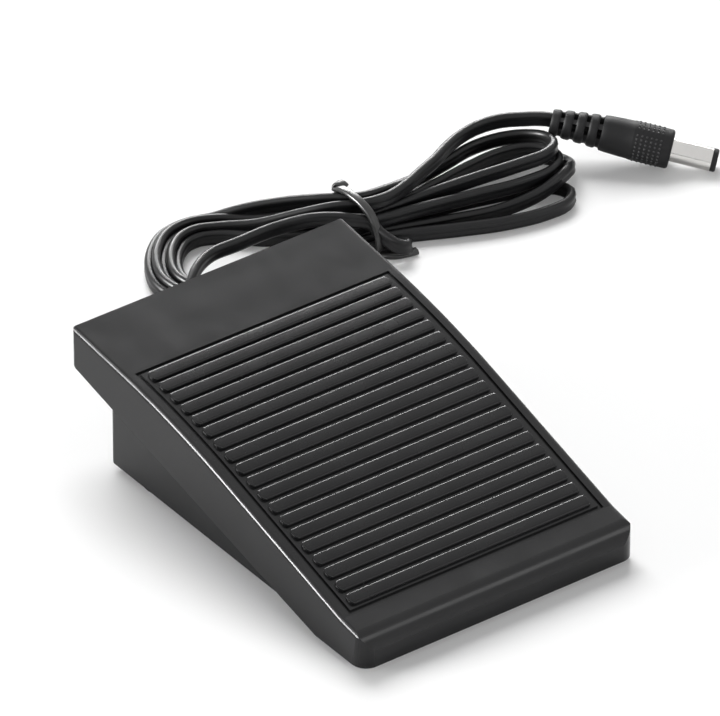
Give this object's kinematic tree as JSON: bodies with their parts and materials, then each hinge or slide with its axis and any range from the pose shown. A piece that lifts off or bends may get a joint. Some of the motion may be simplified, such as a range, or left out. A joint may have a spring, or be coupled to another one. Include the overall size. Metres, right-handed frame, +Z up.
{
  "type": "sewing machine foot pedal",
  "caption": "Small foot pedal for a sewing machine: a ribbed cover hinged on a wedge-shaped tray over a switch, with a tied lead and a barrel plug.",
  "frame": {"origin": "on the floor under the middle of the pedal, measured without the lead and the plug", "axes": "+Z up, +Y from the pedal's low hinged end to its high rear end where the lead leaves, +X to the right"},
  "size_m": [0.1856, 0.1647, 0.0322],
  "materials": {
    "black_cover": "satin",
    "black_tray": "satin",
    "black_rubber": "matt",
    "cord_jacket": "satin",
    "plug_moulding": "matt",
    "nickel": "polished",
    "brass_contact": "polished",
    "steel": "zinc plated",
    "switch_black": "satin",
    "switch_red": "satin",
    "button_white": "satin",
    "wire_red": "satin"
  },
  "bodies": {
    "base": {"base_tray": "black_tray", "hinge_pin": "steel", "foot_rear_left": "black_rubber", "foot_rear_right": "black_rubber", "foot_front_left": "black_rubber", "foot_front_right": "black_rubber", "return_spring_left": "steel", "return_spring_right": "steel", "stop_bumper_left": "black_rubber", "stop_bumper_right": "black_rubber", "switch_bracket": "steel", "bracket_screws": "steel", "switch_case": "switch_black", "switch_lid": "switch_red", "switch_screws": "steel", "switch_terminals": "brass_contact", "cord_grommet": "black_rubber", "cord_clamp": "black_tray", "clamp_screws": "steel", "cord_inner": "cord_jacket", "wire_live": "wire_red", "wire_return": "cord_jacket", "cord_lead": "cord_jacket", "cord_hank": "cord_jacket", "cord_tie": "cord_jacket", "cord_tail": "cord_jacket", "plug_housing": "plug_moulding", "plug_barrel": "nickel", "plug_insulator": "plug_moulding", "plug_contact": "brass_contact"},
    "pedal": {"pedal_cover": "black_cover"},
    "button": {"switch_button": "button_white"},
    "lever": {"switch_lever": "steel"}
  },
  "joints": [
    {"name": "pedal_hinge", "type": "hinge", "parent": "base", "child": "pedal", "pos_m": [0, -0.044, 0.0061], "axis": [-1, 0, 0], "range_deg": [0, 4.5], "stiffness_Nm_per_rad": 1.9, "springref_deg": -3.09, "deforming": ["return_spring_left", "return_spring_right"]},
    {"name": "lever_pivot", "type": "hinge", "parent": "base", "child": "lever", "pos_m": [0, 0.0055, 0.0134], "axis": [1, 0, 0], "range_deg": [0, 9.5]},
    {"name": "button_slide", "type": "slide", "parent": "base", "child": "button", "axis": [0, 0, -1], "range_m": [0, 0.00096]}
  ],
  "couplings": [
    {"joint": "lever_pivot", "follows": "pedal_hinge", "ratio": 2.09},
    {"joint": "button_slide", "follows": "pedal_hinge", "m_per_rad": 0.0121}
  ]
}
